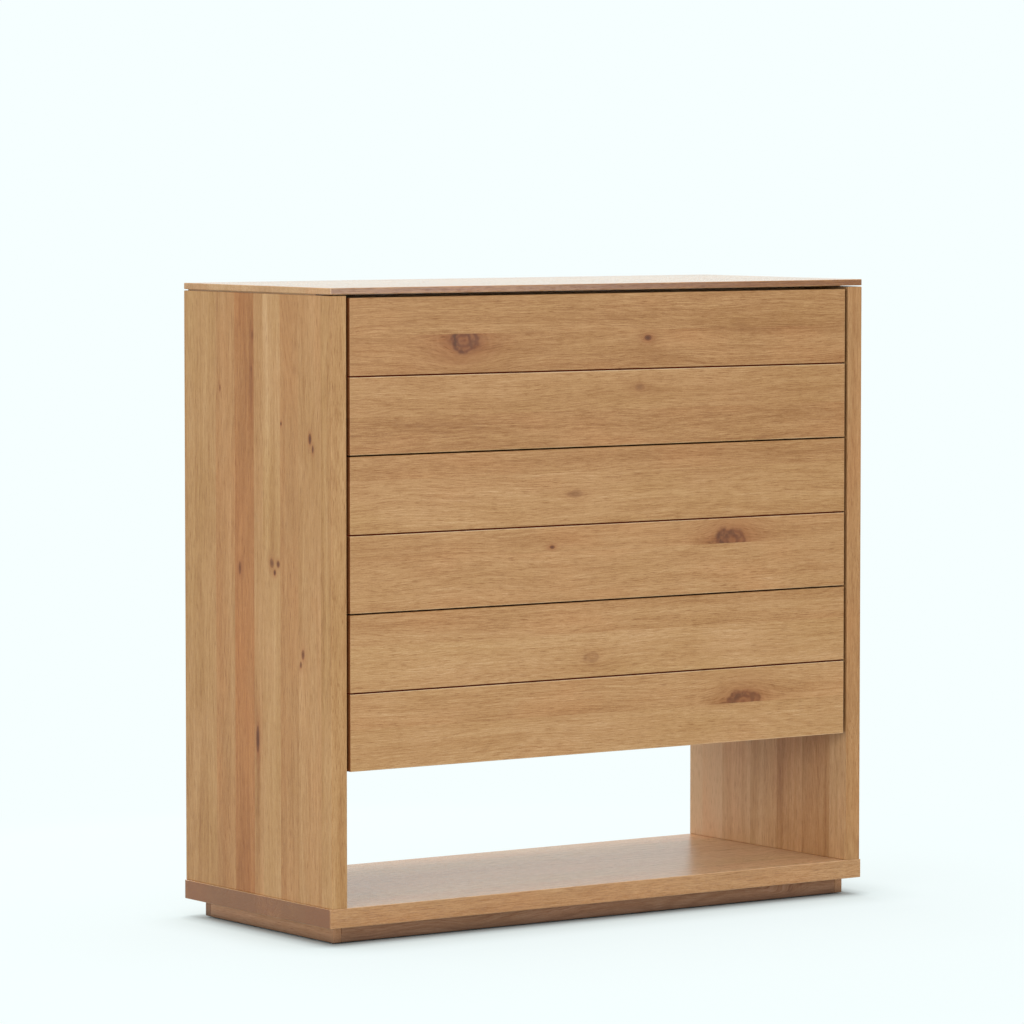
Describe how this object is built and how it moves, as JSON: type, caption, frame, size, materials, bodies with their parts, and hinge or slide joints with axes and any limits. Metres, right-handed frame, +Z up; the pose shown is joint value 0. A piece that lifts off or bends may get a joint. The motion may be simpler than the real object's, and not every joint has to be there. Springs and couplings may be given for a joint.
{
  "type": "chest of drawers",
  "caption": "Tall knotty oak chest of drawers: flush push-to-open drawers with grooved fronts on telescopic runners, over an open niche and a recessed plinth.",
  "frame": {"origin": "on the floor, in the middle of the footprint", "axes": "+Z up, the drawers open towards -Y, +X to the right of someone facing the drawers"},
  "size_m": [1.04, 0.425, 1.01],
  "materials": {
    "oak": "satin lacquered knotty oak",
    "carcass_board": "satin lacquered oak",
    "drawer_lining": "satin lacquered birch",
    "panel_sheet": "satin veneered sheet",
    "beech": "plain fluted beech",
    "runner_steel": "bright zinc",
    "bearing_steel": "polished",
    "zinc_steel": "zinc plated",
    "latch_plastic": "moulded",
    "glide_plastic": "moulded"
  },
  "bodies": {
    "carcass": {"top_panel": "oak", "left_side_panel": "oak", "right_side_panel": "oak", "carcass_floor": "carcass_board", "front_top_rail": "carcass_board", "rear_top_rail": "carcass_board", "back_panel": "panel_sheet", "base_panel": "oak", "plinth_front": "oak", "plinth_left": "oak", "plinth_right": "oak", "plinth_back": "oak", "plinth_blocks": "carcass_board", "plinth_screws": "zinc_steel", "floor_glides": "glide_plastic", "dowels": "beech", "top_rail_screws": "zinc_steel", "carcass_short_screws": "zinc_steel", "wall_anchor_inserts": "zinc_steel", "latch_housings": "latch_plastic", "lower_cabinet_rails": "runner_steel", "middle_cabinet_rails": "runner_steel", "upper_cabinet_rails": "runner_steel"},
    "lower_drawer": {"lower_drawer_front": "oak", "lower_drawer_left_side": "drawer_lining", "lower_drawer_right_side": "drawer_lining", "lower_drawer_box_front": "drawer_lining", "lower_drawer_back": "drawer_lining", "lower_drawer_bottom": "panel_sheet", "lower_drawer_rails": "runner_steel", "lower_drawer_screws": "zinc_steel"},
    "lower_intermediates": {"lower_intermediate_rails": "runner_steel"},
    "lower_outer_cages": {"lower_outer_ball_cages": "bearing_steel"},
    "lower_inner_cages": {"lower_inner_ball_cages": "bearing_steel"},
    "lower_plungers": {"lower_latch_plungers": "latch_plastic"},
    "middle_drawer": {"middle_drawer_front": "oak", "middle_drawer_left_side": "drawer_lining", "middle_drawer_right_side": "drawer_lining", "middle_drawer_box_front": "drawer_lining", "middle_drawer_back": "drawer_lining", "middle_drawer_bottom": "panel_sheet", "middle_drawer_rails": "runner_steel", "middle_drawer_screws": "zinc_steel"},
    "middle_intermediates": {"middle_intermediate_rails": "runner_steel"},
    "middle_outer_cages": {"middle_outer_ball_cages": "bearing_steel"},
    "middle_inner_cages": {"middle_inner_ball_cages": "bearing_steel"},
    "middle_plungers": {"middle_latch_plungers": "latch_plastic"},
    "upper_drawer": {"upper_drawer_front": "oak", "upper_drawer_left_side": "drawer_lining", "upper_drawer_right_side": "drawer_lining", "upper_drawer_box_front": "drawer_lining", "upper_drawer_back": "drawer_lining", "upper_drawer_bottom": "panel_sheet", "upper_drawer_rails": "runner_steel", "upper_drawer_screws": "zinc_steel"},
    "upper_intermediates": {"upper_intermediate_rails": "runner_steel"},
    "upper_outer_cages": {"upper_outer_ball_cages": "bearing_steel"},
    "upper_inner_cages": {"upper_inner_ball_cages": "bearing_steel"},
    "upper_plungers": {"upper_latch_plungers": "latch_plastic"}
  },
  "joints": [
    {"name": "lower_drawer_slide", "type": "slide", "parent": "carcass", "child": "lower_drawer", "axis": [0, -1, 0], "range_m": [-0.003, 0.34]},
    {"name": "lower_intermediates_slide", "type": "slide", "parent": "carcass", "child": "lower_intermediates", "axis": [0, -1, 0], "range_m": [-0.0015, 0.17]},
    {"name": "lower_outer_cages_slide", "type": "slide", "parent": "carcass", "child": "lower_outer_cages", "axis": [0, -1, 0], "range_m": [-0.00075, 0.085]},
    {"name": "lower_inner_cages_slide", "type": "slide", "parent": "carcass", "child": "lower_inner_cages", "axis": [0, -1, 0], "range_m": [-0.00225, 0.255]},
    {"name": "lower_plungers_press", "type": "slide", "parent": "carcass", "child": "lower_plungers", "axis": [0, 1, 0], "range_m": [0, 0.003], "stiffness_N_per_m": 250, "springref_m": -0.002},
    {"name": "middle_drawer_slide", "type": "slide", "parent": "carcass", "child": "middle_drawer", "axis": [0, -1, 0], "range_m": [-0.003, 0.34]},
    {"name": "middle_intermediates_slide", "type": "slide", "parent": "carcass", "child": "middle_intermediates", "axis": [0, -1, 0], "range_m": [-0.0015, 0.17]},
    {"name": "middle_outer_cages_slide", "type": "slide", "parent": "carcass", "child": "middle_outer_cages", "axis": [0, -1, 0], "range_m": [-0.00075, 0.085]},
    {"name": "middle_inner_cages_slide", "type": "slide", "parent": "carcass", "child": "middle_inner_cages", "axis": [0, -1, 0], "range_m": [-0.00225, 0.255]},
    {"name": "middle_plungers_press", "type": "slide", "parent": "carcass", "child": "middle_plungers", "axis": [0, 1, 0], "range_m": [0, 0.003], "stiffness_N_per_m": 250, "springref_m": -0.002},
    {"name": "upper_drawer_slide", "type": "slide", "parent": "carcass", "child": "upper_drawer", "axis": [0, -1, 0], "range_m": [-0.003, 0.34]},
    {"name": "upper_intermediates_slide", "type": "slide", "parent": "carcass", "child": "upper_intermediates", "axis": [0, -1, 0], "range_m": [-0.0015, 0.17]},
    {"name": "upper_outer_cages_slide", "type": "slide", "parent": "carcass", "child": "upper_outer_cages", "axis": [0, -1, 0], "range_m": [-0.00075, 0.085]},
    {"name": "upper_inner_cages_slide", "type": "slide", "parent": "carcass", "child": "upper_inner_cages", "axis": [0, -1, 0], "range_m": [-0.00225, 0.255]},
    {"name": "upper_plungers_press", "type": "slide", "parent": "carcass", "child": "upper_plungers", "axis": [0, 1, 0], "range_m": [0, 0.003], "stiffness_N_per_m": 250, "springref_m": -0.002}
  ],
  "couplings": [
    {"joint": "lower_intermediates_slide", "follows": "lower_drawer_slide", "ratio": 0.5},
    {"joint": "lower_outer_cages_slide", "follows": "lower_drawer_slide", "ratio": 0.25},
    {"joint": "lower_inner_cages_slide", "follows": "lower_drawer_slide", "ratio": 0.75},
    {"joint": "middle_intermediates_slide", "follows": "middle_drawer_slide", "ratio": 0.5},
    {"joint": "middle_outer_cages_slide", "follows": "middle_drawer_slide", "ratio": 0.25},
    {"joint": "middle_inner_cages_slide", "follows": "middle_drawer_slide", "ratio": 0.75},
    {"joint": "upper_intermediates_slide", "follows": "upper_drawer_slide", "ratio": 0.5},
    {"joint": "upper_outer_cages_slide", "follows": "upper_drawer_slide", "ratio": 0.25},
    {"joint": "upper_inner_cages_slide", "follows": "upper_drawer_slide", "ratio": 0.75}
  ]
}
